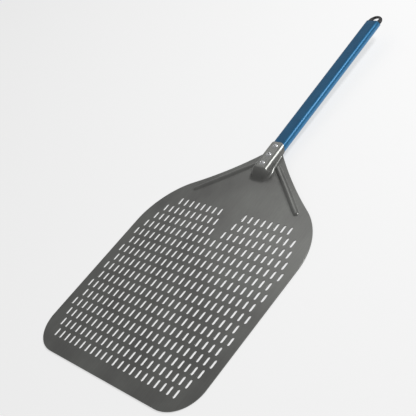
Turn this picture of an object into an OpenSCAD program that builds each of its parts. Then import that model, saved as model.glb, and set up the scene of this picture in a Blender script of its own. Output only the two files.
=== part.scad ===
// Perforated pizza peel: a pressed aluminium head riveted over a flat-oval handle tube.
// X runs across the head, Y from its front edge to the hanging loop, Z up from the underside.

/* [Head] */
// Width of the head
head_w = 330; // [260:5:400]
// Distance from the front edge to where the shoulders start to draw in
side_l = 241.7; // [200:0.1:300]
// Thickness of the pressed sheet
sheet_t = 1.5; // [1:0.1:2]
// Radius of the two front corners
corner_r = 50; // [30:1:70]
// Radius of the outward curve of each shoulder
shoulder_r = 110; // [90:1:130]
// Angle that the shoulder turns through before it curves back
shoulder_turn = 57; // [52:1:62]
// Radius of the long inward curve from shoulder to neck
waist_r = 700; // [600:10:1200]

/* [Slots] */
// Length of a slot over its round ends
slot_l = 13; // [8:0.5:15]
// Width of a slot
slot_w = 4.2; // [2:0.1:5]
// Distance between the slots of one row
slot_pitch = 12.4; // [9:0.1:18]
// Distance between rows
row_pitch = 17.8; // [16:0.1:24]
// Distance from the front edge to the middle of the first row
first_row = 28.9; // [22:0.1:40]
// Plain border along the straight sides
side_margin = 13.5; // [8:0.5:25]
// Plain border inside the rounded corners and shoulders
round_margin = 17; // [10:0.5:30]
// Plain sheet kept between the last row and the neck
tail_clear = 105; // [80:1:140]
// Length of the plain wedge that points forward from the neck
wedge_l = 160; // [110:1:200]

/* [Tail] */
// Slot rows that lie on the upward curve of the tail
curved_rows = 2; // [1:1:3]
// Radius of the upward curve
tail_r = 840; // [700:10:1400]
// Height of the handle's axis over the sheet's underside at the foot of the neck
axis_lift = 3.2; // [2.5:0.1:4]
// Length of the neck behind the shoulders
tongue_l = 14; // [10:0.5:20]
// Corner radius of the neck's end, seen from above
tongue_r = 9; // [5:0.5:12]
// Length of the neck's level top
socket_l = 50; // [50:1:70]
// Slope of the nose that closes the socket
nose_angle = 38; // [30:1:50]

/* [Stiffening beads] */
// Radius of a bead's crown
bead_r = 5; // [4:0.5:7]
// Height of a bead over the sheet at its ends
bead_h = 1.2; // [0.8:0.1:1.5]

/* [Handle] */
// Width of the handle tube
tube_w = 26.5; // [22:0.5:32]
// Height of the handle tube
tube_h = 12.5; // [11:0.5:15]
// Wall of the handle tube
tube_t = 1.2; // [1:0.1:2]
// Length of tube that shows behind the neck
grip_l = 270; // [150:5:1200]
// Upward tilt of the handle in degrees
tilt = 3; // [0:0.5:5]
// Side clearance between tube and neck
side_gap = 0.15; // [0.1:0.05:0.3]

/* [Rivets] */
// Diameter of the rivet's shank
rivet_d = 4.8; // [4:0.1:5]
// Diameter of the domed head
rivet_head_d = 9.5; // [8:0.1:11]
// Height of the domed head
rivet_head_h = 1.7; // [1:0.1:2]
// Distance between rivets
rivet_pitch = 17; // [12:0.5:18]
// Distance from the neck's end to the rear rivet
rivet_edge = 8; // [6:0.5:10]
// Diameter of the steel mandrel left in each rivet
mandrel_d = 2.6; // [2:0.1:3]
// Clearance round a shank in its hole, and round a mandrel in its rivet
rivet_gap = 0.1; // [0.05:0.05:0.2]

/* [End cap] */
// Thickness of the hanging loop
loop_t = 4; // [3:0.5:6]
// Diameter of the hanging hole
hang_d = 12; // [8:0.5:14]
// Distance from the tube's end to the middle of the hanging hole
hang_s = 7.5; // [6.5:0.5:10]
// Length of plug inside the tube
plug_l = 22; // [12:1:40]
// Clearance between plug and tube
plug_gap = 0.1; // [0.05:0.05:0.3]

/* [Hidden] */
$fn = 48;

high = 80;              // taller than anything on the peel, for cutting shapes
arc_error = 0.05;       // how far an outline arc's chords may lie inside it

// Neck section, in the handle's own frame
inner_w = tube_w + 2 * side_gap;
neck_w = inner_w + 2 * sheet_t;
neck_h = tube_h + 2 * sheet_t;
neck_half = neck_w / 2;
neck_top = neck_h / 2;

// Shoulder outline: the convex arc's centre, its end, and the centre of the concave arc
shoulder_c = [head_w / 2 - shoulder_r, side_l];
turn = [cos(shoulder_turn), sin(shoulder_turn)];
waist_c = shoulder_c + (shoulder_r + waist_r) * turn;
waist_end = acos((waist_c[0] - neck_half) / waist_r);
neck_y = waist_c[1] - waist_r * sin(waist_end);
neck_end = neck_y + tongue_l;

// Slot rows and the line where the tail starts to rise
rows = 1 + floor((neck_y - tail_clear - first_row - slot_l / 2) / row_pitch);
bend_y = first_row + (rows - curved_rows - 0.5) * row_pitch;
wedge_y = neck_y - wedge_l;
wedge_slope = slot_pitch / 2 / row_pitch;

// The tail is a chain of flat strips, one row pitch long, along a circle of tail_r
strips = ceil((neck_end + 1 - bend_y) / row_pitch);
function tail_z(y) = y <= bend_y ? 0 : (y - bend_y) ^ 2 / (2 * tail_r);
tail_points = [for (i = [0:strips]) let (y = bend_y + i * row_pitch) [y, tail_z(y)]];
tail_end = [tail_points[strips][0], tail_points[strips][1]];

// Handle frame: its origin is on the tube's axis at the end of the neck
axis_z = tail_z(neck_y) + axis_lift;
tube_end_gap = 2;               // between the tube's front end and the start of the nose
tube_in = socket_l - tube_end_gap;
loop_r = tube_w / 2;
loop_s = 3.5;                   // from the tube's end to the centre of the loop's round end
collar_l = 3;                   // length over which the cap thins down to the loop
total_l = neck_end + (grip_l + loop_s + loop_r) * cos(tilt) + loop_t / 2 * sin(tilt);

// Rivet positions, from the end of the neck
rivet_s = [for (i = [0:2]) -rivet_edge - (2 - i) * rivet_pitch];
bulb_d = 7.4;                   // the blind end, spread inside the tube
bulb_h = 3;
mandrel_head_h = 1.6;

// Bead ends on each side, from the foot of the neck and from the start of the shoulder
bead_in = [neck_half, neck_y] + [7, -23];
bead_out = [head_w / 2, side_l] + [-63, 83];

// Moves a child from the design frame to the part's frame
module placed() {
    translate([0, -total_l / 2, 0]) children();
}

// Moves a child from the handle's frame, where +Y runs along the tube, to the part's frame
module on_handle(s = 0) {
    placed() translate([0, neck_end, axis_z]) rotate([tilt, 0, 0]) translate([0, s, 0]) children();
}

function arc(c, r, from, to) =
    let (n = ceil(abs(to - from) * PI / 180 * sqrt(r / (8 * arc_error))))
    [for (i = [0:n]) let (a = from + (to - from) * i / n) c + r * [cos(a), sin(a)]];

// Right half of the head's outline, front to rear
function half_outline() = concat(
    [[0, 0]],
    arc([head_w / 2 - corner_r, corner_r], corner_r, -90, 0),
    arc(shoulder_c, shoulder_r, 0, shoulder_turn),
    arc(waist_c, waist_r, 180 + shoulder_turn, 180 + waist_end),
    [[0, neck_y]]);

module head_outline() {
    for (side = [0, 1]) mirror([side, 0]) polygon(half_outline());
    tongue();
}

// The neck behind the shoulders, with its round corners
module tongue() {
    back = neck_end - tongue_r;
    translate([-neck_half, neck_y - 1]) square([neck_w, back - neck_y + 1]);
    translate([-neck_half + tongue_r, back - 1]) square([neck_w - 2 * tongue_r, tongue_r + 1]);
    for (side = [-1, 1]) translate([side * (neck_half - tongue_r), back]) circle(r = tongue_r);
}

module slot() {
    straight = slot_l - slot_w;
    square([slot_w, straight], center = true);
    for (side = [-1, 1]) translate([0, side * straight / 2]) circle(d = slot_w);
}

// True where a slot whose far corner is (x, y_far) keeps the border inside a rounded corner
function inside_round(x, y_far, c, r) = x < c[0] || norm([x - c[0], y_far - c[1]]) <= r - round_margin;

function keeps_slot(x, y) =
    let (edge = x + slot_w / 2, front = y - slot_l / 2, back = y + slot_l / 2)
    edge <= head_w / 2 - side_margin
    && (front > corner_r || inside_round(edge, front, [head_w / 2 - corner_r, corner_r], corner_r))
    && (back < side_l || inside_round(edge, back, shoulder_c, shoulder_r))
    && (y < wedge_y || x > (y - wedge_y) * wedge_slope);

// Rows of slots, every second row shifted by half a pitch
module slots() {
    columns = ceil(head_w / slot_pitch);
    for (row = [0:rows - 1], column = [0:columns]) {
        x = (column + (row % 2 == 0 ? 0.5 : 0)) * slot_pitch;
        y = first_row + row * row_pitch;
        if (keeps_slot(x, y)) for (side = x > 0 ? [-1, 1] : [1]) translate([side * x, y]) slot();
    }
}

// A prism across the peel, from a side view of (y, z) points
module across(points) {
    rotate([90, 0, 90]) translate([0, 0, -head_w]) linear_extrude(2 * head_w) polygon(points);
}

function raised(points, dz) = [for (p = points) [p[0], p[1] + dz]];

// The side view of the sheet, and of everything above its underside
module sheet_band() {
    across(concat([[-1, 0]], tail_points, raised([tail_end], sheet_t),
                  [for (i = [strips - 1:-1:0]) [tail_points[i][0], tail_points[i][1] + sheet_t]],
                  [[-1, sheet_t]]));
}

module above_sheet() {
    across(concat([[-1, 0]], tail_points, [[tail_end[0], high], [-1, high]]));
}

module flat_oval(w, h) {
    square([w - h, h], center = true);
    for (side = [-1, 1]) translate([side * (w - h) / 2, 0]) circle(d = h);
}

// A prism along the handle, from a section drawn with X across and Y up
module along(length) {
    rotate([90, 0, 180]) mirror([1, 0, 0]) linear_extrude(length) children();
}

// The socket pressed into the neck: a flat oval on straight legs, closed by a sloping nose.
// depth is how far the surface lies inside the outer one.
module socket(w, depth) {
    top = neck_top - depth;
    past_end = depth > 0 ? 1 : 0;
    shift = depth / sin(nose_angle) - depth / tan(nose_angle);
    length = socket_l + high;
    intersection() {
        translate([0, -length, 0]) along(length + past_end) {
            flat_oval(w, 2 * top);
            translate([-w / 2, -high / 2]) square([w, high / 2]);
        }
        translate([0, -socket_l + shift, top]) rotate([nose_angle, 0, 0])
            translate([-high / 2, -high * 2, -high * 2]) cube([high, high * 5, high * 2]);
    }
}

// A straight bead with round ends, from bead_in to bead_out on one side
module bead(r) {
    points = [for (p = [bead_in, bead_out]) [p[0], p[1], tail_z(p[1]) + sheet_t + bead_h - bead_r]];
    run = points[1] - points[0];
    translate(points[0]) rotate([0, acos(run[2] / norm(run)), atan2(run[1], run[0])]) {
        cylinder(r = r, h = norm(run));
        for (end = [0, norm(run)]) translate([0, 0, end]) sphere(r = r);
    }
}

module beads(r) {
    for (side = [0, 1]) mirror([side, 0, 0]) bead(r);
}

module rivet_hole(s, z) {
    on_handle(s) translate([0, 0, z]) cylinder(d = rivet_d + 2 * rivet_gap, h = high / 4);
}

// Head, neck and socket are one pressed sheet
module blade() {
    color("dimgray") difference() {
        placed() difference() {
            union() {
                intersection() {
                    linear_extrude(high) difference() {
                        head_outline();
                        slots();
                    }
                    sheet_band();
                }
                intersection() {
                    beads(bead_r);
                    above_sheet();
                }
            }
            beads(bead_r - sheet_t);
        }
        on_handle() socket(inner_w, sheet_t);
        for (s = rivet_s) rivet_hole(s, 0);
    }
    color("dimgray") difference() {
        intersection() {
            on_handle() socket(neck_w, 0);
            placed() above_sheet();
            placed() linear_extrude(high) head_outline();
        }
        on_handle() socket(inner_w, sheet_t);
        for (s = rivet_s) rivet_hole(s, 0);
    }
}

module handle_tube() {
    color("steelblue") difference() {
        on_handle(-tube_in) along(tube_in + grip_l) flat_oval(tube_w, tube_h);
        on_handle(-tube_in - 1) along(tube_in + grip_l + 2)
            flat_oval(tube_w - 2 * tube_t, tube_h - 2 * tube_t);
        for (s = rivet_s) rivet_hole(s, 0);
    }
}

// A set blind rivet: domed head on the neck, shank, and the blind end spread under the tube wall
module rivet_body(s) {
    wall_under = tube_h / 2 - tube_t;
    dome_r = (rivet_head_d ^ 2 / 4 + rivet_head_h ^ 2) / (2 * rivet_head_h);
    color("silver") on_handle(s) difference() {
        union() {
            intersection() {
                translate([0, 0, neck_top + rivet_head_h - dome_r]) sphere(r = dome_r);
                translate([0, 0, neck_top]) cylinder(d = rivet_head_d, h = rivet_head_h * 2);
            }
            translate([0, 0, wall_under - bulb_h]) cylinder(d = rivet_d, h = neck_top - wall_under + bulb_h);
            translate([0, 0, wall_under - bulb_h]) cylinder(d = bulb_d, h = bulb_h);
        }
        translate([0, 0, -1]) cylinder(d = mandrel_d + 2 * rivet_gap, h = high);
    }
}

// The broken-off mandrel that stays in the rivet
module rivet_mandrel(s) {
    bulb_under = tube_h / 2 - tube_t - bulb_h;
    color("lightgray") on_handle(s) {
        translate([0, 0, bulb_under]) cylinder(d = mandrel_d, h = neck_top + rivet_head_h * 0.6 - bulb_under);
        translate([0, 0, bulb_under - mandrel_head_h]) cylinder(d = rivet_d, h = mandrel_head_h);
    }
}

// Moulded plug and hanging loop
module end_cap() {
    color("black") difference() {
        union() {
            on_handle(grip_l - plug_l) along(plug_l + 1)
                flat_oval(tube_w - 2 * (tube_t + plug_gap), tube_h - 2 * (tube_t + plug_gap));
            intersection() {
                on_handle(grip_l) along(loop_s + loop_r) flat_oval(tube_w, tube_h);
                on_handle(grip_l) translate([0, 0, -high / 2]) linear_extrude(high) {
                    translate([0, loop_s]) circle(r = loop_r);
                    translate([-loop_r, 0]) square([tube_w, loop_s]);
                }
                on_handle(grip_l) rotate([90, 0, 90]) translate([0, 0, -high / 2])
                    linear_extrude(high) loop_side_view();
            }
        }
        on_handle(grip_l + hang_s) translate([0, 0, -high / 2]) cylinder(d = hang_d, h = high);
    }
}

// Full height at the tube's end, thinning down to the loop
module loop_side_view() {
    length = loop_s + loop_r + 1;
    polygon([[0, -tube_h / 2], [collar_l, -loop_t / 2], [length, -loop_t / 2],
             [length, loop_t / 2], [collar_l, loop_t / 2], [0, tube_h / 2]]);
}

blade();
handle_tube();
rivet_body(rivet_s[0]);  // rivet_body_front
rivet_body(rivet_s[1]);  // rivet_body_middle
rivet_body(rivet_s[2]);  // rivet_body_rear
rivet_mandrel(rivet_s[0]);  // rivet_mandrel_front
rivet_mandrel(rivet_s[1]);  // rivet_mandrel_middle
rivet_mandrel(rivet_s[2]);  // rivet_mandrel_rear
end_cap();
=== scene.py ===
"""Perforated pizza peel on a pale studio floor: pressed head, tube handle, blind rivets and end cap."""
import sys
import enum
import logging
import math
from dataclasses import dataclass, field
from typing import Any, Mapping, Sequence

import bmesh
import bpy
import numpy as np
from mathutils import Matrix, Vector
from mathutils.geometry import delaunay_2d_cdt


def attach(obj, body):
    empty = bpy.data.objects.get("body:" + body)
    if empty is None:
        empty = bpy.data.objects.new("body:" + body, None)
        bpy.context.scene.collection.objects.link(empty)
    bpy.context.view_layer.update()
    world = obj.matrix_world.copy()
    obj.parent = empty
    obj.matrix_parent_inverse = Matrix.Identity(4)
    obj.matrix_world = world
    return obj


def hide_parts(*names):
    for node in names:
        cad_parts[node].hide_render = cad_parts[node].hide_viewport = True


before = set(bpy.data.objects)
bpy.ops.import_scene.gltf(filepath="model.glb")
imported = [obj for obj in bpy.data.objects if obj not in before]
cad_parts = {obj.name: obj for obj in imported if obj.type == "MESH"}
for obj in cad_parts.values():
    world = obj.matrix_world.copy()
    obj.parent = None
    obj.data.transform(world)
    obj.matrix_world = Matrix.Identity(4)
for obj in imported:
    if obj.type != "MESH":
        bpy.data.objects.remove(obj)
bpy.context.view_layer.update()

MM = 0.001
BODY = "root"
LOG = logging.getLogger("peel")


class Slot(enum.Enum):
    """The record's material slots."""

    HEAD = "head_sheet"
    HANDLE = "handle"
    RIVET = "rivet"
    MANDREL = "mandrel"
    CAP = "cap"


# ---------------------------------------------------------------- colours and nodes


def linear(hex_colour: str) -> tuple[float, float, float, float]:
    """Turns an sRGB hex colour into linear RGBA.

    Args:
        hex_colour: Six hex digits with a leading hash.

    Returns:
        Linear red, green, blue and an alpha of 1.
    """
    channels = [int(hex_colour[i : i + 2], 16) / 255 for i in (1, 3, 5)]
    turned = [c / 12.92 if c <= 0.04045 else ((c + 0.055) / 1.055) ** 2.4 for c in channels]
    return (turned[0], turned[1], turned[2], 1.0)


def add_node(
    tree: bpy.types.NodeTree,
    kind: str,
    inputs: Mapping[str | int, Any] | None = None,
    stops: Sequence[tuple[float, str]] = (),
    **settings: Any,
) -> bpy.types.Node:
    """Adds a node with its settings and links.

    Args:
        tree: The node tree that gets the node.
        kind: The node's type name.
        inputs: Input name or number to a value, or to the output socket that feeds it.
        stops: A colour ramp's positions, each with its sRGB hex colour.
        **settings: Properties of the node itself.

    Returns:
        The new node.
    """
    node = tree.nodes.new(kind)
    for name, value in settings.items():
        setattr(node, name, value)
    for key, value in (inputs or {}).items():
        if isinstance(value, bpy.types.NodeSocket):
            tree.links.new(value, node.inputs[key])
        else:
            node.inputs[key].default_value = value
    for number, (position, colour) in enumerate(stops):
        ramp = node.color_ramp.elements
        element = ramp[number] if number < len(ramp) else ramp.new(position)
        element.position, element.color = position, linear(colour)
    return node


# ---------------------------------------------------------------- finishes


@dataclass(frozen=True)
class Finish:
    """A surface finish that can make its own material."""

    name: str = "plain"
    roughness: tuple[float, float] = (0.5, 0.5)

    def roughen(
        self,
        tree: bpy.types.NodeTree,
        surface: bpy.types.Node,
        wear: tuple[bpy.types.NodeSocket, float, float],
        relief: tuple[bpy.types.NodeSocket, float, float],
    ) -> None:
        """Varies the roughness with one pattern, and raises another as fine relief.

        Args:
            tree: The material's node tree.
            surface: Its Principled shader.
            wear: The roughness pattern, and the values of it that give the two roughnesses.
            relief: The height pattern, its strength, and its depth in millimetres.
        """
        limits = {0: wear[0], 1: wear[1], 2: wear[2], 3: self.roughness[0], 4: self.roughness[1]}
        rough = add_node(tree, "ShaderNodeMapRange", limits)
        height, strength, depth_mm = relief
        sizes = {"Height": height, "Strength": strength, "Distance": depth_mm * MM}
        tree.links.new(rough.outputs["Result"], surface.inputs["Roughness"])
        tree.links.new(add_node(tree, "ShaderNodeBump", sizes).outputs["Normal"], surface.inputs["Normal"])

    def shade(self, tree: bpy.types.NodeTree, surface: bpy.types.Node, place: bpy.types.NodeSocket) -> None:
        """Links this finish's patterns to the shader.

        Args:
            tree: The material's node tree.
            surface: Its Principled shader.
            place: Object coordinates, in metres.
        """
        raise NotImplementedError

    def material(self) -> bpy.types.Material:
        """Builds the material.

        Returns:
            The finished material.
        """
        made = bpy.data.materials.new(self.name)
        made.use_nodes = True
        tree = made.node_tree
        tree.nodes.clear()
        surface = add_node(tree, "ShaderNodeBsdfPrincipled")
        add_node(tree, "ShaderNodeOutputMaterial", {"Surface": surface.outputs["BSDF"]})
        self.shade(tree, surface, add_node(tree, "ShaderNodeTexCoord").outputs["Object"])
        return made


@dataclass(frozen=True)
class HardAnodisedAluminium(Finish):
    """Rolled aluminium sheet, pressed and then hard anodised.

    The thick grey oxide is satin and slightly cloudy, and the rolling lines under it still run
    along the sheet.
    """

    name: str = "hard_anodised_aluminium"
    dark: str = "#6C6C6A"
    light: str = "#777875"
    metallic: float = 0.75
    roughness: tuple[float, float] = (0.29, 0.36)
    roll_line_mm: float = 1.1  # the real lines are near 0.1 mm apart; drawn coarser so that they show
    cloud_mm: float = 60.0
    pore_mm: float = 0.5  # the real pores are far finer; drawn coarser so that they show
    roll_depth_mm: float = 0.004

    def shade(self, tree: bpy.types.NodeTree, surface: bpy.types.Node, place: bpy.types.NodeSocket) -> None:
        """Links cloudy oxide colour, rolling lines and pores to the shader.

        Args:
            tree: The material's node tree.
            surface: Its Principled shader.
            place: Object coordinates, in metres.
        """
        cloud = add_node(
            tree, "ShaderNodeTexNoise", {"Vector": place, "Scale": 1 / (self.cloud_mm * MM), "Detail": 4.0}
        )
        tone = add_node(
            tree, "ShaderNodeValToRGB", {"Fac": cloud.outputs["Fac"]}, [(0.35, self.dark), (0.68, self.light)]
        ).outputs["Color"]
        stretched = add_node(tree, "ShaderNodeMapping", {"Vector": place, "Scale": (1.0, 0.015, 1.0)})
        lines = add_node(
            tree,
            "ShaderNodeTexNoise",
            {"Vector": stretched.outputs["Vector"], "Scale": 1 / (self.roll_line_mm * MM), "Detail": 3.0},
        )
        pores = add_node(
            tree, "ShaderNodeTexNoise", {"Vector": place, "Scale": 1 / (self.pore_mm * MM), "Detail": 2.0}
        )
        streaks = add_node(
            tree, "ShaderNodeMapRange", {0: lines.outputs["Fac"], 1: 0.3, 2: 0.7, 3: 0.94, 4: 1.06}
        )
        streaked = add_node(
            tree, "ShaderNodeVectorMath", {0: tone, "Scale": streaks.outputs["Result"]}, operation="SCALE"
        )
        tree.links.new(streaked.outputs["Vector"], surface.inputs["Base Color"])
        grain = add_node(
            tree, "ShaderNodeMath", {0: lines.outputs["Fac"], 1: pores.outputs["Fac"]}, operation="ADD"
        )
        wear = (cloud.outputs["Fac"], 0.3, 0.7)
        self.roughen(tree, surface, wear, (grain.outputs["Value"], 0.5, self.roll_depth_mm))
        surface.inputs["Metallic"].default_value = self.metallic


@dataclass(frozen=True)
class DyedAnodisedTube(Finish):
    """Drawn aluminium tube, anodised and dyed blue.

    The clear dyed oxide keeps the metal's shine under it, so the tube flashes from pale blue to
    deep blue as it turns, with faint draw lines along its length.
    """

    name: str = "blue_anodised_aluminium"
    deep: str = "#2C76A6"
    pale: str = "#3683B4"
    roughness: tuple[float, float] = (0.38, 0.46)
    draw_line_mm: float = 0.9  # the real lines are near 0.05 mm apart; drawn coarser so that they show
    scuff_mm: float = 14.0
    line_depth_mm: float = 0.003
    metallic: float = 0.9
    coat: float = 0.6
    coat_roughness: float = 0.22

    def shade(self, tree: bpy.types.NodeTree, surface: bpy.types.Node, place: bpy.types.NodeSocket) -> None:
        """Links draw lines and the slightly uneven dye to the shader.

        Args:
            tree: The material's node tree.
            surface: Its Principled shader.
            place: Object coordinates, in metres.
        """
        stretched = add_node(tree, "ShaderNodeMapping", {"Vector": place, "Scale": (1.0, 0.01, 1.0)})
        lines = add_node(
            tree,
            "ShaderNodeTexNoise",
            {"Vector": stretched.outputs["Vector"], "Scale": 1 / (self.draw_line_mm * MM), "Detail": 3.0},
        )
        uneven = add_node(
            tree, "ShaderNodeTexNoise", {"Vector": place, "Scale": 1 / (self.scuff_mm * MM), "Detail": 5.0}
        )
        both = add_node(
            tree,
            "ShaderNodeMix",
            {"Factor": 0.45, 2: uneven.outputs["Fac"], 3: lines.outputs["Fac"]},
            data_type="FLOAT",
        )
        dye = add_node(
            tree, "ShaderNodeValToRGB", {"Fac": both.outputs[0]}, [(0.38, self.deep), (0.62, self.pale)]
        ).outputs["Color"]
        tree.links.new(dye, surface.inputs["Base Color"])
        wear = (both.outputs[0], 0.35, 0.65)
        self.roughen(tree, surface, wear, (lines.outputs["Fac"], 0.4, self.line_depth_mm))
        surface.inputs["Metallic"].default_value = self.metallic
        surface.inputs["Coat Weight"].default_value = self.coat
        surface.inputs["Coat Roughness"].default_value = self.coat_roughness


@dataclass(frozen=True)
class TumbledMetal(Finish):
    """Cold-headed metal, tumbled bright in the barrel.

    Bright and evenly soft, with tiny dents that break up the highlight, and painted shade in the dents: the
    colour darkens where they sink.
    """

    name: str = "tumbled_aluminium"
    colour: str = "#D9DADB"
    # darker colour painted where the dents sink: painted shade in the dents
    dent_shade: str = "#B9BBBD"
    roughness: tuple[float, float] = (0.22, 0.34)
    dent_mm: float = 0.7
    dent_depth_mm: float = 0.01

    def shade(self, tree: bpy.types.NodeTree, surface: bpy.types.Node, place: bpy.types.NodeSocket) -> None:
        """Links small dents, and painted shade that darkens the colour in them, to the shader.

        Args:
            tree: The material's node tree.
            surface: Its Principled shader.
            place: Object coordinates, in metres.
        """
        dents = add_node(
            tree, "ShaderNodeTexNoise", {"Vector": place, "Scale": 1 / (self.dent_mm * MM), "Detail": 2.0}
        )
        # the colour follows the dents' height, so it is darker in them: painted shade
        tones = [(0.3, self.dent_shade), (0.6, self.colour)]
        tone = add_node(tree, "ShaderNodeValToRGB", {"Fac": dents.outputs["Fac"]}, tones).outputs["Color"]
        tree.links.new(tone, surface.inputs["Base Color"])
        wear = (dents.outputs["Fac"], 0.3, 0.7)
        self.roughen(tree, surface, wear, (dents.outputs["Fac"], 0.3, self.dent_depth_mm))
        surface.inputs["Metallic"].default_value = 1.0


@dataclass(frozen=True)
class MouldedPlastic(Finish):
    """Black polypropylene, injection moulded in a fine spark-eroded tool.

    Deep black with a soft, wide highlight and a faint even grain.
    """

    name: str = "moulded_polypropylene"
    colour: str = "#121214"
    grain_mm: float = 0.6  # the real texture is near 0.05 mm; drawn coarser so that it shows
    grain_depth_mm: float = 0.02
    roughness: tuple[float, float] = (0.38, 0.50)

    def shade(self, tree: bpy.types.NodeTree, surface: bpy.types.Node, place: bpy.types.NodeSocket) -> None:
        """Links the tool's grain to the shader.

        Args:
            tree: The material's node tree.
            surface: Its Principled shader.
            place: Object coordinates, in metres.
        """
        grain = add_node(
            tree, "ShaderNodeTexNoise", {"Vector": place, "Scale": 1 / (self.grain_mm * MM), "Detail": 3.0}
        )
        wear = (grain.outputs["Fac"], 0.3, 0.7)
        self.roughen(tree, surface, wear, (grain.outputs["Fac"], 0.35, self.grain_depth_mm))
        surface.inputs["Base Color"].default_value = linear(self.colour)
        surface.inputs["Metallic"].default_value = 0.0
        surface.inputs["IOR"].default_value = 1.49


@dataclass(frozen=True)
class BacklitPaper(Finish):
    """Matte white paper sweep over a light table: even, nearly shadowless white."""

    name: str = "backlit_paper"
    colour: str = "#8C8C8C"
    glow: str = "#FFFFFF"
    glow_strength: float = 0.635
    roughness: tuple[float, float] = (1.0, 1.0)

    def shade(self, tree: bpy.types.NodeTree, surface: bpy.types.Node, place: bpy.types.NodeSocket) -> None:
        """Sets the paper's colour and glow.

        Args:
            tree: The material's node tree.
            surface: Its Principled shader.
            place: Object coordinates, in metres.
        """
        fibre = add_node(tree, "ShaderNodeTexNoise", {"Vector": place, "Scale": 400.0, "Detail": 2.0})
        bump = add_node(
            tree, "ShaderNodeBump", {"Height": fibre.outputs["Fac"], "Strength": 0.1, "Distance": 0.0001}
        )
        tree.links.new(bump.outputs["Normal"], surface.inputs["Normal"])
        surface.inputs["Base Color"].default_value = linear(self.colour)
        surface.inputs["Roughness"].default_value = self.roughness[0]
        surface.inputs["Specular IOR Level"].default_value = 0.0
        surface.inputs["Emission Color"].default_value = linear(self.glow)
        surface.inputs["Emission Strength"].default_value = self.glow_strength


# ---------------------------------------------------------------- shared sizes and mesh helpers


@dataclass(frozen=True)
class Datum:
    """Sizes that the pieces share, in millimetres. Y is 0 at the head's front edge here."""

    head_w: float = 330.0
    side_l: float = 241.7
    sheet_t: float = 1.5
    corner_r: float = 50.0
    shoulder_r: float = 110.0
    shoulder_turn: float = math.radians(57)
    waist_r: float = 700.0
    row_pitch: float = 17.8
    first_row: float = 28.9
    tail_clear: float = 105.0
    curved_rows: int = 2
    slot_l: float = 13.0
    tail_r: float = 840.0
    axis_lift: float = 3.2
    tongue_l: float = 14.0
    socket_l: float = 50.0
    tube_w: float = 26.5
    tube_h: float = 12.5
    tube_t: float = 1.2
    grip_l: float = 270.0
    tilt: float = math.radians(3)
    side_gap: float = 0.15
    loop_s: float = 3.5
    loop_t: float = 4.0

    @property
    def neck_half(self) -> float:
        """Half the neck's outside width."""
        return self.tube_w / 2 + self.side_gap + self.sheet_t

    @property
    def neck_top(self) -> float:
        """Height of the neck's outside top over the handle's axis."""
        return self.tube_h / 2 + self.sheet_t

    @property
    def shoulder_c(self) -> np.ndarray:
        """Centre of the right shoulder's outward curve."""
        return np.array([self.head_w / 2 - self.shoulder_r, self.side_l])

    @property
    def waist_c(self) -> np.ndarray:
        """Centre of the right inward curve between shoulder and neck."""
        turn = np.array([math.cos(self.shoulder_turn), math.sin(self.shoulder_turn)])
        return self.shoulder_c + (self.shoulder_r + self.waist_r) * turn

    @property
    def waist_end(self) -> float:
        """Angle at which the inward curve meets the neck."""
        return math.acos((self.waist_c[0] - self.neck_half) / self.waist_r)

    @property
    def neck_y(self) -> float:
        """Where the head's outline meets the neck."""
        return float(self.waist_c[1] - self.waist_r * math.sin(self.waist_end))

    @property
    def neck_end(self) -> float:
        """Where the neck ends on the handle."""
        return self.neck_y + self.tongue_l

    @property
    def rows(self) -> int:
        """How many rows of slots fit."""
        room = self.neck_y - self.tail_clear - self.first_row - self.slot_l / 2
        return 1 + math.floor(room / self.row_pitch)

    @property
    def bend_y(self) -> float:
        """Where the tail starts to rise."""
        return self.first_row + (self.rows - self.curved_rows - 0.5) * self.row_pitch

    @property
    def axis_z(self) -> float:
        """Height of the handle's axis at the neck's end."""
        return float(self.tail_z(np.array(self.neck_y))) + self.axis_lift

    @property
    def total_l(self) -> float:
        """The whole peel's length."""
        reach = (self.grip_l + self.loop_s + self.tube_w / 2) * math.cos(self.tilt)
        return self.neck_end + reach + self.loop_t / 2 * math.sin(self.tilt)

    def tail_z(self, y: np.ndarray) -> np.ndarray:
        """Height of the sheet's underside.

        Args:
            y: Distance from the front edge.

        Returns:
            The height at each y.
        """
        return np.maximum(y - self.bend_y, 0) ** 2 / (2 * self.tail_r)

    def to_part(self, points: np.ndarray) -> np.ndarray:
        """Moves points from the head's front edge to the part's own origin, and to metres.

        Args:
            points: Rows of x, y, z in millimetres.

        Returns:
            Rows of x, y, z in metres.
        """
        return (points - [0, self.total_l / 2, 0]) * MM

    def on_handle(self, x: np.ndarray, s: np.ndarray, w: np.ndarray) -> np.ndarray:
        """Moves points from the handle's frame to the part's.

        Args:
            x: Across the handle.
            s: Along the handle, from the neck's end.
            w: Square to the handle, from its axis.

        Returns:
            Rows of x, y, z in metres.
        """
        x, s, w = np.broadcast_arrays(x, s, w)
        y = self.neck_end + s * math.cos(self.tilt) - w * math.sin(self.tilt)
        z = self.axis_z + s * math.sin(self.tilt) + w * math.cos(self.tilt)
        return self.to_part(np.column_stack([np.ravel(x), np.ravel(y), np.ravel(z)]))


def flat_oval(width: float, height: float, steps: int = 20, flats: int = 6) -> np.ndarray:
    """Points round a flat oval.

    Args:
        width: Across the oval.
        height: Over its flats.
        steps: Segments in each half-round side.
        flats: Segments in each flat.

    Returns:
        Rows of x, w, anticlockwise from the lower right.
    """
    half, r = (width - height) / 2, height / 2
    turn = np.linspace(-math.pi / 2, math.pi / 2, steps + 1)
    right = np.column_stack([half + r * np.cos(turn), r * np.sin(turn)])
    top = np.column_stack([np.linspace(half, -half, flats + 1)[1:-1], np.full(flats - 1, r)])
    return np.vstack([right, top, -right, -top])


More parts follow.
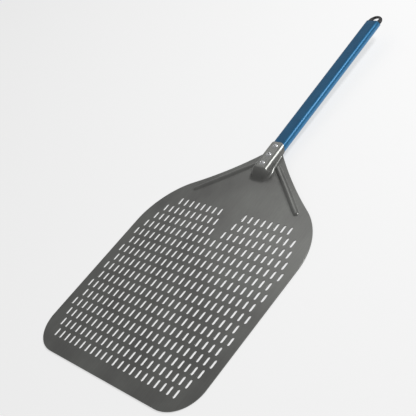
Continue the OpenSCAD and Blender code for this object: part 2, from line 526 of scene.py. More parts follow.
def ring_faces(rings: int, count: int, close_ends: bool = False) -> list[tuple[int, ...]]:
    """Quads between rings of points.

    Args:
        rings: How many rings, one after the other.
        count: Points in each ring.
        close_ends: Whether the first and last ring get a face.

    Returns:
        Faces as vertex numbers.
    """
    faces: list[tuple[int, ...]] = []
    for i in range(rings - 1):
        for j in range(count):
            a, b = i * count + j, i * count + (j + 1) % count
            faces.append((a, b, b + count, a + count))
    if close_ends:
        faces.append(tuple(reversed(range(count))))
        faces.append(tuple(range((rings - 1) * count, rings * count)))
    return faces


def solid_from(
    name: str, points: np.ndarray, faces: Sequence[Sequence[int]], smooth: bool = True
) -> bpy.types.Object:
    """Makes a welded mesh object whose faces look outward.

    Args:
        name: The piece's name.
        points: Rows of x, y, z in metres.
        faces: Vertex numbers of each face.
        smooth: Whether the faces shade smoothly.

    Returns:
        The new object, linked to the scene.
    """
    mesh = bpy.data.meshes.new(name)
    mesh.from_pydata([tuple(p) for p in points.tolist()], [], [tuple(f) for f in faces])
    shell = bmesh.new()
    shell.from_mesh(mesh)
    bmesh.ops.remove_doubles(shell, verts=shell.verts, dist=0.002 * MM)
    bmesh.ops.dissolve_degenerate(shell, edges=shell.edges, dist=0.001 * MM)
    bmesh.ops.recalc_face_normals(shell, faces=shell.faces)
    shell.to_mesh(mesh)
    shell.free()
    if smooth:
        mesh.shade_smooth()
    made = bpy.data.objects.new(name, mesh)
    bpy.context.scene.collection.objects.link(made)
    return made


def finish_piece(
    piece: bpy.types.Object, material: bpy.types.Material, nodes: Sequence[str]
) -> bpy.types.Object:
    """Dresses a piece, puts it on its body and says what it stands for.

    Args:
        piece: The new piece.
        material: Its finish.
        nodes: The CAD nodes that the piece replaces.

    Returns:
        The same piece.
    """
    piece.data.materials.clear()
    piece.data.materials.append(material)
    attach(piece, BODY)
    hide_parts(*nodes)
    LOG.info("%s: %d faces, %s", piece.name, len(piece.data.polygons), material.name)
    return piece


def soften_edges(piece: bpy.types.Object, width_mm: float, segments: int = 2) -> None:
    """Rounds a piece's sharp edges a little, keeping flat faces flat.

    Args:
        piece: The piece.
        width_mm: Width of the rounding.
        segments: Segments across it.
    """
    bevel = piece.modifiers.new("edge_break", "BEVEL")
    bevel.width = width_mm * MM
    bevel.segments = segments
    bevel.limit_method = "ANGLE"
    bevel.angle_limit = math.radians(50)
    bevel.use_clamp_overlap = False
    bevel.harden_normals = True


# ---------------------------------------------------------------- the head


@dataclass
class PressedHead:
    """The head, its neck and its socket: one pressed and perforated sheet. Sizes in millimetres."""

    datum: Datum
    slot_w: float = 4.2
    slot_pitch: float = 12.4
    side_margin: float = 13.5
    round_margin: float = 17.0
    wedge_l: float = 160.0
    bead_from: tuple[float, float] = (7.0, -23.0)
    bead_to: tuple[float, float] = (-63.0, 83.0)
    bead_r: float = 4.2
    bead_h: float = 1.9
    bead_extra: float = 0.45  # most that the straight crown may stand above bead_h over the curved tail
    bead_blend: float = 0.2
    bead_reach: float = 7.5
    bead_fade: float = 3.0
    tongue_r: float = 9.0
    rear_blend: float = 12.0
    foot_r: float = 4.2
    nose_foot_r: float = 6.0
    nose_top_r: float = 20.0
    nose_y_ahead: float = 48.5
    nose_reach: float = 18.7
    nose_flare: float = 2.0
    edge_break: float = 0.3
    straight_step: float = 8.0
    tail_step: float = 2.6
    finish: HardAnodisedAluminium = field(default_factory=HardAnodisedAluminium)

    @property
    def wall_x(self) -> float:
        """Middle of the sheet in the socket's side walls."""
        return self.datum.neck_half - self.datum.sheet_t / 2

    @property
    def arch_r(self) -> float:
        """Radius of the socket's upper corners at the middle of the sheet."""
        return self.datum.neck_top - self.datum.sheet_t / 2

    @property
    def crest_x(self) -> float:
        """Half the width of the socket's flat top."""
        return self.wall_x - self.arch_r

    @property
    def nose_y(self) -> float:
        """Where the flat top ends at the nose."""
        return self.datum.neck_end - self.nose_y_ahead

    def middle_z(self, y: np.ndarray) -> np.ndarray:
        """Height of the middle of the sheet outside the socket and beads."""
        return self.datum.tail_z(y) + self.datum.sheet_t / 2

    def top_z(self, y: np.ndarray) -> np.ndarray:
        """Height of the middle of the sheet on the socket's flat top.

        Args:
            y: Distance from the front edge.

        Returns:
            The height at each y.
        """
        d = self.datum
        s = (y - d.neck_end + self.arch_r * math.sin(d.tilt)) / math.cos(d.tilt)
        return d.axis_z + s * math.sin(d.tilt) + self.arch_r * math.cos(d.tilt)

    def half_outline(self, step: float = 2.0) -> np.ndarray:
        """Right half of the outline, from the front edge's middle to the neck.

        Args:
            step: Distance between points.

        Returns:
            Rows of x, y.
        """
        d = self.datum

        def arc(c: np.ndarray, r: float, start: float, end: float) -> np.ndarray:
            """Points along the arc of radius r round c."""
            turn = np.linspace(start, end, max(int(abs(end - start) * r / step), 4) + 1)
            return np.column_stack([c[0] + r * np.cos(turn), c[1] + r * np.sin(turn)])

        corner = arc(np.array([d.head_w / 2 - d.corner_r, d.corner_r]), d.corner_r, -math.pi / 2, 0)
        shoulder = arc(d.shoulder_c, d.shoulder_r, 0, d.shoulder_turn)
        waist = arc(d.waist_c, d.waist_r, math.pi + d.shoulder_turn, math.pi + d.waist_end)
        front_x = np.arange(0, corner[0, 0], self.straight_step)
        front = np.column_stack([front_x, np.zeros(len(front_x))])
        side_y = np.arange(d.corner_r, d.side_l, self.straight_step)[1:]
        side = np.column_stack([np.full(len(side_y), d.head_w / 2), side_y])
        return np.vstack([front, corner, side, shoulder, waist[1:]])

    def outline_x(self, y: np.ndarray) -> np.ndarray:
        """Half the head's width on the inward curve.

        Args:
            y: Distance from the front edge, between shoulder and neck.

        Returns:
            The half width at each y.
        """
        c, r = self.datum.waist_c, self.datum.waist_r
        return c[0] - np.sqrt(r**2 - np.minimum(y - c[1], -1.0) ** 2)

    def keeps_slot(self, x: float, y: float) -> bool:
        """Whether a slot stands at (x, y): off the plain border and the plain wedge.

        Args:
            x: The slot's middle, across.
            y: The slot's middle, from the front edge.

        Returns:
            True if the slot is punched.
        """
        d = self.datum
        edge, near, far = x + self.slot_w / 2, y - d.slot_l / 2, y + d.slot_l / 2

        def inside(corner_y: float, c: Sequence[float], r: float) -> bool:
            """Whether the slot's far corner keeps the border inside a rounded corner."""
            return edge < c[0] or math.hypot(edge - c[0], corner_y - c[1]) <= r - self.round_margin

        if edge > d.head_w / 2 - self.side_margin:
            return False
        if near <= d.corner_r and not inside(near, (d.head_w / 2 - d.corner_r, d.corner_r), d.corner_r):
            return False
        if far >= d.side_l and not inside(far, d.shoulder_c, d.shoulder_r):
            return False
        wedge_y = d.neck_y - self.wedge_l
        return y < wedge_y or x > (y - wedge_y) * self.slot_pitch / 2 / d.row_pitch

    def slot_centres(self) -> np.ndarray:
        """Middles of all slots.

        Returns:
            Rows of x, y.
        """
        d = self.datum
        centres = []
        for row in range(d.rows):
            for column in range(math.ceil(d.head_w / self.slot_pitch) + 1):
                x = (column + (0.5 if row % 2 == 0 else 0)) * self.slot_pitch
                y = d.first_row + row * d.row_pitch
                if self.keeps_slot(x, y):
                    centres += [(x, y), (-x, y)] if x > 0 else [(x, y)]
        return np.array(centres)

    def slot_loop(self) -> np.ndarray:
        """Draws one slot's outline round the origin.

        Returns:
            Rows of x, y.
        """
        r, straight = self.slot_w / 2, (self.datum.slot_l - self.slot_w) / 2
        turn = np.linspace(0, math.pi, 11)
        cap = np.column_stack([r * np.cos(turn), straight + r * np.sin(turn)])
        return np.vstack([cap, -cap])

    def bead_line(self) -> tuple[np.ndarray, np.ndarray]:
        """Finds the right bead's middle line.

        Returns:
            Its ends as x, y: beside the neck, and out toward the shoulder.
        """
        d = self.datum
        start = np.array([d.neck_half + self.bead_from[0], d.neck_y + self.bead_from[1]])
        stop = np.array([d.head_w / 2 + self.bead_to[0], d.side_l + self.bead_to[1]])
        return start, stop

    def bead_rise(self, x: np.ndarray, y: np.ndarray) -> np.ndarray:
        """How far the stiffening beads lift the sheet.

        Args:
            x: Across the head.
            y: From the front edge.

        Returns:
            The rise at each point.
        """
        d = self.datum
        start, stop = self.bead_line()
        run = stop - start
        p = np.stack([np.abs(x), y], axis=-1) - start
        along = np.clip(p @ run / (run @ run), 0, 1)
        off = np.linalg.norm(p - along[..., None] * run, axis=-1)
        ends = d.tail_z(np.array([start[1], stop[1]]))
        crown = ends[0] + (ends[1] - ends[0]) * along + self.bead_h - d.tail_z(y)
        over = np.minimum(crown, self.bead_h + self.bead_extra) - off**2 / (2 * self.bead_r)
        fade = np.clip((self.bead_reach - off) / self.bead_fade, 0, 1)
        return (over + np.sqrt(over**2 + self.bead_blend**2)) / 2 * fade

    def bead_points(self) -> np.ndarray:
        """Extra points along both beads, so that their crowns come out smooth.

        Returns:
            Rows of x, y.
        """
        start, stop = self.bead_line()
        run = (stop - start) / np.linalg.norm(stop - start)
        side = np.array([-run[1], run[0]])
        reach = float(np.linalg.norm(stop - start))
        found = []
        for t in np.arange(-5.0, reach + 5.0, 1.0):
            for off in (-5.2, -4.3, -3.5, -2.8, -2.1, -1.4, -0.7, 0, 0.7, 1.4, 2.1, 2.8, 3.5, 4.3, 5.2):
                past = max(-t, t - reach, 0.0)
                if math.hypot(past, off) < 5.6:
                    found.append(start + run * t + side * off)
        right = np.array(found)
        return np.vstack([right, right * [-1, 1]])

    def neck_back(self, x: np.ndarray) -> np.ndarray:
        """Where the neck's rounded end lies.

        Args:
            x: Across the neck.

        Returns:
            Distance from the front edge at each x.
        """
        flat = self.datum.neck_half - self.tongue_r
        over = np.clip((np.abs(x) - flat) / (self.wall_x - flat), 0, 1)
        return self.datum.neck_end - self.tongue_r + self.tongue_r * np.sqrt(1 - over**2)

    def stations(self) -> np.ndarray:
        """Places the socket's cross-sections, rear to front.

        Returns:
            Distances from the front edge.
        """
        d = self.datum
        free = np.linspace(d.neck_end, d.neck_y, 15)
        near = d.neck_y - np.array([0.35, 0.7, 1.05, 1.5, 2.0])
        held = np.linspace(near[-1], self.nose_y, 30)[1:]
        return np.concatenate([free, near, held])

    def rays(self) -> list[tuple[np.ndarray, np.ndarray, float, float, float]]:
        """The right half of the socket as lines running out from its flat top, rear to front.

        Returns:
            Start, direction, plan length, foot radius and top radius of each line.
        """
        d = self.datum
        lines = []
        for y in self.stations():
            flange = float(self.outline_x(np.array(y))) - d.neck_half if y < d.neck_y else 0.0
            foot = min(max(0.9 * flange, 0.0), self.foot_r)
            flare = self.nose_flare * math.exp(-(((y - self.nose_y) / 5.5) ** 2))
            start = np.array([self.crest_x, y])
            lines.append((start, np.array([1.0, 0.0]), self.arch_r + foot + flare, foot, self.arch_r))
        wide, deep, power = self.arch_r + self.foot_r + self.nose_flare, self.nose_reach, 2.3
        corner = np.array([self.crest_x, self.nose_y])
        for turn in np.linspace(0, math.pi / 2, 19)[1:]:
            c, s = math.cos(turn), math.sin(turn)
            reach = ((c / wide) ** power + (s / deep) ** power) ** (-1 / power)
            share = 0.5 - 0.5 * math.cos(2 * turn)
            share = min(1.0, 1.6 * share)
            foot = self.foot_r + (self.nose_foot_r - self.foot_r) * share
            top = self.arch_r + (self.nose_top_r - self.arch_r) * share
            lines.append((corner, np.array([c, -s]), reach, foot, top))
        for x in self.crest_columns()[::-1][1:]:
            if x >= -1e-9:
                front = np.array([x, self.nose_y])
                lines.append((front, np.array([0.0, -1.0]), deep, self.nose_foot_r, self.nose_top_r))
        return lines

    def crest_columns(self) -> np.ndarray:
        """Positions across the socket's flat top."""
        return np.linspace(-self.crest_x, self.crest_x, 9)

    def section(self, line: tuple[np.ndarray, np.ndarray, float, float, float]) -> np.ndarray:
        """One line of points from the flat top down to the sheet.

        Args:
            line: Start, direction, plan length, foot radius and top radius.

        Returns:
            Rows of x, y, z, from foot to top.
        """
        start, way, reach, foot, top = line
        middle = start[1] + way[1] * reach / 2
        height = float(self.top_z(np.array(middle)) - self.middle_z(np.array(middle)))
        top = min(top, 0.49 * (reach**2 / height + height) - foot)  # what the line's length has room for
        both = foot + top
        spare = 2 * both - height
        root = math.sqrt(max(reach**2 - spare * height, 0.0))
        half_tan = height / (2 * reach) if abs(spare) < 1e-6 else (reach - root) / spare
        half_tan = min(half_tan, 1.0)
        slope = 2 * math.atan(half_tan)
        turn = np.linspace(0, slope, 8)
        foot_arc = np.column_stack([reach - foot * np.sin(turn), foot * (1 - np.cos(turn))])
        arch = np.linspace(slope, 0, 12)
        top_arc = np.column_stack([top * np.sin(arch), height - top * (1 - np.cos(arch))])
        share = np.linspace(0, 1, 7)[1:-1, None]
        wall = foot_arc[-1] + (top_arc[0] - foot_arc[-1]) * share
        out, up = np.vstack([foot_arc, wall, top_arc]).T
        up = np.clip(up, 0, height)
        x, y = start[0] + way[0] * out, start[1] + way[1] * out
        cut = self.datum.neck_end - self.rear_blend
        if start[1] > cut and way[1] == 0:
            y = cut + (y - cut) / (self.datum.neck_end - cut) * (self.neck_back(x) - cut)
        base = self.middle_z(y)
        past = np.clip((y - self.datum.neck_y) / 1.0 + 0.5, 0, 1) * self.datum.sheet_t / 2
        z = base + up / height * (self.top_z(y) - base) - past * np.clip(1 - up / 1.5, 0, 1)
        return np.column_stack([x, y, z])

    def socket_grid(self) -> tuple[np.ndarray, list[tuple[int, ...]], np.ndarray]:
        """The socket's surface, from the sheet up to and over the flat top.

        Returns:
            Points, faces, and the foot line from the right neck corner round the nose to the left.
        """
        right = [self.section(line) for line in self.rays()]
        left = [line * [-1, 1, 1] for line in reversed(right[:-1])]
        lines = right + left
        count = len(lines[0])
        points = [np.vstack(lines)]
        faces = [
            (i * count + j, i * count + j + 1, (i + 1) * count + j + 1, (i + 1) * count + j)
            for i in range(len(lines) - 1)
            for j in range(count - 1)
        ]
        rows, columns = self.stations(), self.crest_columns()
        cut, end = self.datum.neck_end - self.rear_blend, self.datum.neck_end
        base = len(points[0])
        for y in rows:
            line_y = np.full(len(columns), y)
            if y > cut:
                line_y = cut + (y - cut) / (end - cut) * (self.neck_back(columns) - cut)
            points.append(np.column_stack([columns, line_y, self.top_z(line_y)]))
        n = len(columns)
        for i in range(len(rows) - 1):
            for j in range(n - 1):
                a = base + i * n + j
                faces.append((a, a + 1, a + n + 1, a + n))
        feet = np.array([line[0] for line in lines])
        held = feet[:, 1] <= self.datum.neck_y + 1e-6
        return np.vstack(points), faces, feet[held][:, :2]

    def sheet_plan(self, feet: np.ndarray) -> tuple[np.ndarray, list[tuple[int, ...]]]:
        """The perforated sheet round the socket, seen from above.

        Args:
            feet: The foot line that the socket stands on.

        Returns:
            Points as x, y, and triangles.
        """
        half = self.half_outline()
        rim = np.vstack([half, feet, (half * [-1, 1])[::-1][:-1]])
        centres, loop = self.slot_centres(), self.slot_loop()
        d = self.datum
        slots = (centres[:, None, :] + loop[None]).reshape(-1, 2)
        step, wide = self.tail_step, np.arange(-166, 166, self.tail_step)
        ys = np.arange(d.bend_y - 6, d.neck_y, step)
        grid = np.array([(x + (step / 2 if i % 2 else 0), y) for i, y in enumerate(ys) for x in wide])
        low, across = np.arange(10, d.bend_y - 8, 8.9), np.arange(-155, 156, 12.4)
        open_field = np.array([(x, y) for y in low for x in across])
        beads = self.bead_points()
        grid = grid[self.nearest(grid, beads) > 1.4]
        spare = np.vstack([grid, open_field, beads])
        spare = spare[self.inside(spare, rim) & (self.nearest(spare, np.vstack([rim, slots])) > 1.0)]
        spare = spare[~self.in_slot(spare, centres, 0.4)]
        points = np.vstack([rim, slots, spare])
        edges = [(i, (i + 1) % len(rim)) for i in range(len(rim))]
        for k in range(len(centres)):
            first = len(rim) + k * len(loop)
            edges += [(first + i, first + (i + 1) % len(loop)) for i in range(len(loop))]
        made = delaunay_2d_cdt([Vector(p) for p in points.tolist()], edges, [], 0, 1e-5, True)
        plan = np.array([tuple(v) for v in made[0]])
        triangles = np.array([tuple(f) for f in made[2]])
        middles = plan[triangles].mean(axis=1)
        keep = self.inside(middles, rim) & ~self.in_slot(middles, centres, 0.0)
        return plan, [tuple(t) for t in triangles[keep].tolist()]

    def in_slot(self, points: np.ndarray, centres: np.ndarray, margin: float) -> np.ndarray:
        """Which points lie in a slot.

        Args:
            points: Rows of x, y.
            centres: Middles of the slots.
            margin: How far outside a slot still counts.

        Returns:
            One truth value for each point.
        """
        straight = (self.datum.slot_l - self.slot_w) / 2
        found = np.zeros(len(points), bool)
        for c in centres:
            p = np.abs(points - c)
            off = np.hypot(p[:, 0], np.maximum(p[:, 1] - straight, 0))
            found |= off < self.slot_w / 2 + margin
        return found

    @staticmethod
    def nearest(points: np.ndarray, others: np.ndarray) -> np.ndarray:
        """Measures from each point to the nearest of the others.

        Args:
            points: Rows of x, y.
            others: Rows of x, y.

        Returns:
            One distance for each point.
        """
        found = np.empty(len(points))
        for i in range(0, len(points), 400):
            gap = points[i : i + 400, None, :] - others[None]
            found[i : i + 400] = np.sqrt((gap**2).sum(axis=2).min(axis=1))
        return found

    @staticmethod
    def inside(points: np.ndarray, polygon: np.ndarray) -> np.ndarray:
        """Tells which points lie inside a polygon, by counting the sides to their right.

        Args:
            points: Rows of x, y.
            polygon: The polygon's corners in order.

        Returns:
            One truth value for each point.
        """
        found = np.zeros(len(points), bool)
        x, y = points[:, 0], points[:, 1]
        for (x0, y0), (x1, y1) in zip(polygon, np.roll(polygon, -1, axis=0)):
            crosses = (y0 > y) != (y1 > y)
            if y0 != y1:
                found ^= crosses & (x < (x1 - x0) * (y - y0) / (y1 - y0) + x0)
        return found

    def build(self) -> bpy.types.Object:
        """Builds the whole pressed sheet with its thickness.

        Returns:
            The head as one closed mesh.
        """
        socket_points, socket_faces, feet = self.socket_grid()
        plan, triangles = self.sheet_plan(feet)
        x, y = plan.T
        sheet = np.column_stack([x, y, self.middle_z(y) + self.bead_rise(x, y)])
        first = len(sheet)
        middle = bmesh.new()
        verts = [middle.verts.new(p) for p in np.vstack([sheet, socket_points]).tolist()]
        for face in triangles + [tuple(first + i for i in f) for f in socket_faces]:
            middle.faces.new([verts[i] for i in face])
        bmesh.ops.remove_doubles(middle, verts=middle.verts, dist=0.004)
        bmesh.ops.dissolve_degenerate(middle, edges=middle.edges, dist=0.002)
        bmesh.ops.recalc_face_normals(middle, faces=middle.faces)
        middle.normal_update()
        middle.verts.index_update()
        if sum(f.normal.z * f.calc_area() for f in middle.faces) < 0:
            bmesh.ops.reverse_faces(middle, faces=middle.faces)
            middle.normal_update()
        skin = np.array([v.co[:] for v in middle.verts])
        normal = np.array([v.normal[:] for v in middle.verts])
        count = len(skin)
        half = self.datum.sheet_t / 2
        points = np.vstack([skin + normal * half, skin - normal * half])
        faces: list[tuple[int, ...]] = []
        for f in middle.faces:
            ids = tuple(v.index for v in f.verts)
            faces.append(ids)
            faces.append(tuple(i + count for i in reversed(ids)))
        for e in middle.edges:
            if len(e.link_faces) == 1:
                loop = next(item for item in e.link_faces[0].loops if item.edge == e)
                a, b = loop.vert.index, loop.link_loop_next.vert.index
                faces.append((b, a, a + count, b + count))
        crowded = sum(len(e.link_faces) > 2 for e in middle.edges)
        LOG.info("head: %d slots, %d crowded edges", len(self.slot_centres()), crowded)
        middle.free()
        mesh = bpy.data.meshes.new("pressed_head")
        mesh.from_pydata([tuple(p) for p in self.datum.to_part(points).tolist()], [], faces)
        mesh.shade_smooth()
        head = bpy.data.objects.new("pressed_head", mesh)
        bpy.context.scene.collection.objects.link(head)
        return head

    def make(self) -> bpy.types.Object:
        """Builds and dresses the head.

        Returns:
            The finished piece.
        """
        head = self.build()
        soften_edges(head, self.edge_break)
        return finish_piece(head, self.finish.material(), ["blade"])


# ---------------------------------------------------------------- the handle, its rivets and its cap


@dataclass
class HandleTube:
    """The flat-oval tube that runs from inside the socket to the end cap. Sizes in millimetres."""

    datum: Datum
    end_gap: float = 2.0
    edge_break: float = 0.3
    finish: DyedAnodisedTube = field(default_factory=DyedAnodisedTube)

    def make(self) -> bpy.types.Object:
        """Builds and dresses the tube.

        Returns:
            The finished piece.
        """
        d, e = self.datum, self.edge_break
        front, back = -(d.socket_l - self.end_gap), d.grip_l
        quarter = np.linspace(0, math.pi / 2, 4)
        outer = [(e * (1 - math.sin(q)), front + e * (1 - math.cos(q))) for q in quarter]
        outer += [(0.0, s) for s in np.linspace(front, back, 34)[1:-1]]
        outer += [(e * (1 - math.cos(q)), back - e * (1 - math.sin(q))) for q in quarter]
        inner = [(d.tube_t - e * (1 - math.cos(q)), back - e * (1 - math.sin(q))) for q in quarter[::-1]]
        inner += [(d.tube_t - e * (1 - math.sin(q)), front + e * (1 - math.cos(q))) for q in quarter[::-1]]
        rings = []
        for inset, s in outer + inner:
            x, w = flat_oval(d.tube_w - 2 * inset, d.tube_h - 2 * inset).T
            rings.append(d.on_handle(x, np.full(len(x), s), w))
        count = len(rings[0])
        faces = ring_faces(len(rings), count)
        last = (len(rings) - 1) * count
        faces += [(last + j, last + (j + 1) % count, (j + 1) % count, j) for j in range(count)]
        tube = solid_from("handle_tube_dyed", np.vstack(rings), faces)
        return finish_piece(tube, self.finish.material(), ["handle_tube"])


class RivetPlace(enum.Enum):
    """Where each rivet stands, counted from the nose."""

    FRONT = "front"
    MIDDLE = "middle"
    REAR = "rear"


@dataclass
class BlindRivets:
    """The three blind rivets that hold head and handle together. Sizes in millimetres."""

    datum: Datum
    shank_d: float = 4.8
    head_d: float = 9.5
    head_h: float = 1.7
    pitch: float = 17.0
    edge: float = 8.0
    bore_d: float = 2.8
    mandrel_d: float = 2.6
    bulb_d: float = 7.4
    bulb_h: float = 3.0
    mandrel_head_h: float = 1.6
    turns: int = 64
    body_finish: TumbledMetal = field(default_factory=TumbledMetal)
    mandrel_finish: TumbledMetal = field(
        default_factory=lambda: TumbledMetal(
            name="snapped_steel_wire",
            roughness=(0.35, 0.5),
            colour="#8C8B89",
            # darker colour painted into the dents as shade
            dent_shade="#5F5E5C",
            dent_mm=0.4,
            dent_depth_mm=0.03,
        )
    )

    def spin(
        self, name: str, s: float, profile: Sequence[tuple[float, float]], closed: bool
    ) -> bpy.types.Object:
        """Turns a profile round the rivet's axis.

        Args:
            name: The piece's name.
            s: The rivet's place along the handle.
            profile: Radius and height points, from bottom to top.
            closed: Whether the profile returns to its first point, as round a bore.

        Returns:
            The new piece.
        """
        turn = np.linspace(0, 2 * math.pi, self.turns, endpoint=False)
        shape = list(profile) + ([profile[0]] if closed else [])
        rings = [
            self.datum.on_handle(r * np.cos(turn), s + r * np.sin(turn), np.full(self.turns, w))
            for r, w in shape
        ]
        return solid_from(name, np.vstack(rings), ring_faces(len(rings), self.turns))

    def body_profile(self) -> list[tuple[float, float]]:
        """Draws the rivet body's half section: bulb, shank, domed head with its lipped bore.

        Returns:
            Radius and height points, from the bulb's underside round to the bore.
        """
        d = self.datum
        wall, seat = d.tube_h / 2 - d.tube_t, d.neck_top
        dome_r = (self.head_d**2 / 4 + self.head_h**2) / (2 * self.head_h)
        centre = seat + self.head_h - dome_r
        bore, shank, bulb = self.bore_d / 2, self.shank_d / 2, self.bulb_d / 2

        def dome(r: float) -> float:
            """Height of the dome at radius r."""
            return centre + math.sqrt(dome_r**2 - r**2)

        edge = self.head_d / 2 - 0.1
        low = wall - self.bulb_h
        points = [(bore, low), (bulb - 0.9, low), (bulb - 0.2, low + 0.5)]
        points += [(bulb, wall - self.bulb_h / 2), (bulb - 0.15, wall - 0.4)]
        points += [(bulb - 0.6, wall), (shank, wall)]
        points += [(shank, seat), (edge - 0.15, seat), (edge, seat + 0.05)]
        points += [(r, dome(r)) for r in np.linspace(edge, bore + 0.55, 10)]
        points += [(bore + 0.3, dome(bore + 0.3) - 0.03), (bore + 0.1, dome(bore) - 0.16)]
        return points + [(bore, dome(bore) - 0.35)]

    def mandrel_profile(self) -> list[tuple[float, float]]:
        """Draws the snapped mandrel's half section, from its head inside the tube to the break.

        Returns:
            Radius and height points, from bottom to top.
        """
        d = self.datum
        under = d.tube_h / 2 - d.tube_t - self.bulb_h
        top = d.neck_top + self.head_h * 0.6
        r, head = self.mandrel_d / 2, self.shank_d / 2
        points = [(0.0, under - self.mandrel_head_h), (head - 0.4, under - self.mandrel_head_h)]
        points += [(head, under - self.mandrel_head_h + 0.4), (head, under - 0.1)]
        points += [(head - 0.1, under), (r, under), (r, top - 0.35), (r - 0.15, top - 0.12)]
        return points + [(r - 0.5, top), (r - 0.8, top - 0.14), (0.0, top - 0.2)]

    def make(self) -> list[bpy.types.Object]:
        """Builds and dresses the bodies and mandrels.

        Returns:
            The six finished pieces.
        """
        bright, steel = self.body_finish.material(), self.mandrel_finish.material()
        pieces = []
        for i, place in enumerate(RivetPlace):
            s = -self.edge - (2 - i) * self.pitch
            body = self.spin(f"rivet_{place.value}", s, self.body_profile(), True)
            pieces.append(finish_piece(body, bright, [f"rivet_body_{place.value}"]))
            stem = self.spin(f"mandrel_{place.value}", s, self.mandrel_profile(), False)
            pieces.append(finish_piece(stem, steel, [f"rivet_mandrel_{place.value}"]))
        return pieces


@dataclass
class EndCap:
    """The moulded cap: a plug inside the tube, a collar flush with it and a flat hanging loop."""

    datum: Datum
    hang_d: float = 12.0
    hang_s: float = 7.5
    collar_l: float = 3.0
    plug_l: float = 22.0
    plug_gap: float = 0.1
    rim_r: float = 1.9
    hole_r: float = 0.8
    spokes: int = 144
    finish: MouldedPlastic = field(default_factory=MouldedPlastic)

    def half_depth(self, x: np.ndarray, s: np.ndarray) -> np.ndarray:
        """Half the loop's thickness before its edges are rounded.

        Args:
            x: Across the handle.
            s: Along it, from the tube's end.

        Returns:
            The half thickness at each point.
        """
        d = self.datum
        past = np.maximum(np.abs(x) - (d.tube_w - d.tube_h) / 2, 0)
        oval = np.sqrt(np.maximum((d.tube_h / 2) ** 2 - past**2, 0))
        slope = d.tube_h / 2 + (d.loop_t / 2 - d.tube_h / 2) * s / self.collar_l
        flat, blend = d.loop_t / 2, 0.5
        side = flat + ((slope - flat) + np.sqrt((slope - flat) ** 2 + blend**2 * np.clip(s, 0, 1))) / 2
        return np.minimum(oval, np.minimum(side, d.tube_h / 2))

    def reach(self, turn: np.ndarray) -> np.ndarray:
        """Distance from the hole's middle to the cap's outline in plan.

        Args:
            turn: Angles round the hole's middle, with 0 across the handle.

        Returns:
            The distance at each angle.
        """
        d = self.datum
        r, c, s = d.tube_w / 2, np.cos(turn), np.sin(turn)
        lift = self.hang_s - d.loop_s
        round_end = -lift * s + np.sqrt(r**2 - lift**2 * c**2)
        at_side = r / np.maximum(np.abs(c), 1e-9)
        at_base = np.where(s < 0, self.hang_s / np.maximum(-s, 1e-9), 1e9)
        out = np.where(self.hang_s + round_end * s >= d.loop_s, round_end, at_side)
        return np.minimum(out, at_base)

    def make(self) -> bpy.types.Object:
        """Builds and dresses the cap.

        Returns:
            The finished piece.
        """
        d = self.datum
        corner = math.atan2(-self.hang_s, d.tube_w / 2)
        turn = np.concatenate(
            [
                np.linspace(corner, math.pi - corner, self.spokes * 3 // 4, endpoint=False),
                np.linspace(math.pi - corner, 2 * math.pi + corner, self.spokes // 4, endpoint=False),
            ]
        )
        count, out = len(turn), self.reach(turn)
        hole = self.hang_d / 2
        based = self.hang_s + out * np.sin(turn) < 1e-6
        quarter = np.linspace(0, math.pi / 2, 5)
        shares = [("hole", q) for q in quarter] + [("web", t) for t in np.linspace(0, 1, 9)[1:-1]]
        shares += [("rim", q) for q in np.linspace(0, math.pi / 2, 9)]
        upper = []
        inner, outer = hole + self.hole_r, out - np.minimum(self.rim_r, (out - hole) * 0.4)
        for kind, t in shares:
            if kind == "hole":
                radius = np.full(count, hole + self.hole_r * (1 - math.cos(t)))
            elif kind == "web":
                radius = inner + (outer - inner) * t
            else:
                radius = outer + (out - outer) * math.sin(t)
            x, s = radius * np.cos(turn), self.hang_s + radius * np.sin(turn)
            depth = self.half_depth(x, s)
            if kind == "hole":
                depth = depth - self.hole_r * (1 - math.sin(t))
            if kind == "rim":
                depth = np.where(based, depth, np.minimum(depth, self.rim_r / 0.95) * math.cos(t))
            upper.append((x, s, depth))
        rings = [d.on_handle(x, d.grip_l + s, w) for x, s, w in upper]
        rings += [d.on_handle(x, d.grip_l + s, -w) for x, s, w in reversed(upper)]
        faces = ring_faces(len(rings), count)
        last = (len(rings) - 1) * count
        faces += [(last + j, last + (j + 1) % count, (j + 1) % count, j) for j in range(count)]
        size = 2 * (d.tube_t + self.plug_gap)
        plug_x, plug_w = flat_oval(d.tube_w - size, d.tube_h - size).T
        nose_x, nose_w = flat_oval(d.tube_w - size - 1.2, d.tube_h - size - 1.2).T
        ends = [(nose_x, -self.plug_l, nose_w), (plug_x, -self.plug_l + 0.8, plug_w), (plug_x, 0.3, plug_w)]
        plug = [d.on_handle(x, np.full(len(x), d.grip_l + s), w) for x, s, w in ends]
        first = sum(len(r) for r in rings)
        faces += [tuple(first + i for i in f) for f in ring_faces(3, len(plug_x), True)]
        cap = solid_from("end_cap_moulded", np.vstack(rings + plug), faces)
        return finish_piece(cap, self.finish.material(), ["end_cap"])


# ---------------------------------------------------------------- the studio


@dataclass(frozen=True)
class Lamp:
    """One soft square lamp. Lengths in metres, power in watts."""

    name: str
    at: tuple[float, float, float]
    size: float
    power: float
    flagged: bool = False  # kept off the handle tube


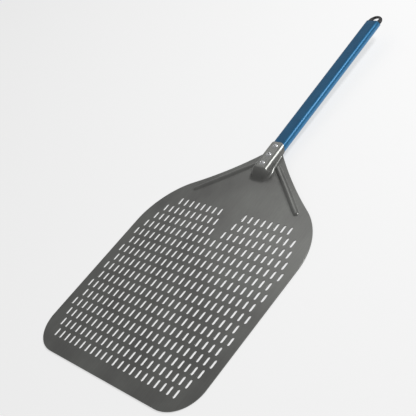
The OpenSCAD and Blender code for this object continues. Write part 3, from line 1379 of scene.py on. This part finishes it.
@dataclass
class Studio:
    """Pale floor, soft light and the camera. Lengths in metres."""

    floor_size: float = 12.0
    floor_drop: float = 0.0004
    world: str = "#FFFFFF"
    world_strength: float = 0.35
    camera_at: tuple[float, float, float] = (0.85241, -0.53627, 0.73822)
    camera_right: tuple[float, float, float] = (0.6716, 0.5981, -0.4372)
    camera_down: tuple[float, float, float] = (0.1844, -0.7065, -0.6832)
    lens: float = 74.22
    lamp_aim: tuple[float, float, float] = (0.0, 0.1, 0.0)
    lamps: tuple[Lamp, ...] = (
        Lamp("key", (0.85, 1.0, 1.4), 0.34, 24.0, flagged=True),
        Lamp("far_softbox", (-0.95, 1.0, 1.2), 1.0, 3.9, flagged=True),
        Lamp("side_softbox", (0.85, 1.0, 1.4), 0.55, 6.0),
    )
    paper: BacklitPaper = field(default_factory=BacklitPaper)

    def floor(self) -> None:
        """Lays the paper."""
        half = self.floor_size / 2
        corners = np.array([(-half, -half), (half, -half), (half, half), (-half, half)])
        points = np.column_stack([corners, np.full(4, -self.floor_drop)])
        sheet = solid_from("studio_floor", points, [(0, 1, 2, 3)], False)
        sheet.data.materials.append(self.paper.material())

    def hang(self, lamp: Lamp) -> bpy.types.Object:
        """Hangs one lamp, turned to the aim point.

        Args:
            lamp: The lamp's place, size and power.

        Returns:
            The new light.
        """
        light = bpy.data.lights.new(lamp.name, "AREA")
        light.shape, light.size, light.energy = "SQUARE", lamp.size, lamp.power
        made = bpy.data.objects.new(lamp.name, light)
        made.location = lamp.at
        way = Vector(self.lamp_aim) - Vector(lamp.at)
        made.rotation_euler = way.to_track_quat("-Z", "Y").to_euler()
        bpy.context.scene.collection.objects.link(made)
        return made

    def flag(self, lamp: bpy.types.Object, piece: bpy.types.Object) -> None:
        """Keeps a lamp off a piece, as a studio flag does.

        Args:
            lamp: The light.
            piece: The piece that it doesn't light.
        """
        shaded = bpy.data.collections.new(f"{lamp.name}_flagged")
        shaded.objects.link(piece)
        for entry in shaded.collection_objects:
            entry.light_linking.link_state = "EXCLUDE"
        lamp.light_linking.receiver_collection = shaded

    def camera(self) -> None:
        """Places the camera from its right and down directions."""
        right, down = Vector(self.camera_right).normalized(), Vector(self.camera_down)
        down = (down - right * down.dot(right)).normalized()
        back = right.cross(-down)
        lens = bpy.data.cameras.new("studio_camera")
        lens.lens, lens.sensor_width, lens.clip_start, lens.clip_end = self.lens, 36.0, 0.01, 50.0
        made = bpy.data.objects.new("studio_camera", lens)
        turn = Matrix((right, -down, back)).transposed().to_4x4()
        made.matrix_world = Matrix.Translation(self.camera_at) @ turn
        bpy.context.scene.collection.objects.link(made)
        bpy.context.scene.camera = made

    def make(self, tube: bpy.types.Object) -> None:
        """Sets up floor, world, lamps and camera.

        Args:
            tube: The handle tube, which the flagged lamps would wash out.
        """
        self.floor()
        sky = bpy.data.worlds.new("studio_sky")
        sky.use_nodes = True
        sky.node_tree.nodes.clear()
        glow = add_node(
            sky.node_tree,
            "ShaderNodeBackground",
            {"Color": linear(self.world), "Strength": self.world_strength},
        )
        add_node(sky.node_tree, "ShaderNodeOutputWorld", {"Surface": glow.outputs["Background"]})
        bpy.context.scene.world = sky
        for lamp in self.lamps:
            light = self.hang(lamp)
            if lamp.flagged:
                self.flag(light, tube)
        self.camera()
        bpy.context.scene.view_settings.view_transform = "Standard"
        LOG.info("studio: floor, %d lamps, sky and camera", len(self.lamps))


def main() -> None:
    """Builds the peel and its studio."""
    logging.basicConfig(level=logging.INFO, format="%(name)s: %(message)s", stream=sys.stdout)
    datum = Datum()
    PressedHead(datum).make()
    tube = HandleTube(datum).make()
    BlindRivets(datum).make()
    EndCap(datum).make()
    Studio().make(tube)


if __name__ == "__main__":
    main()
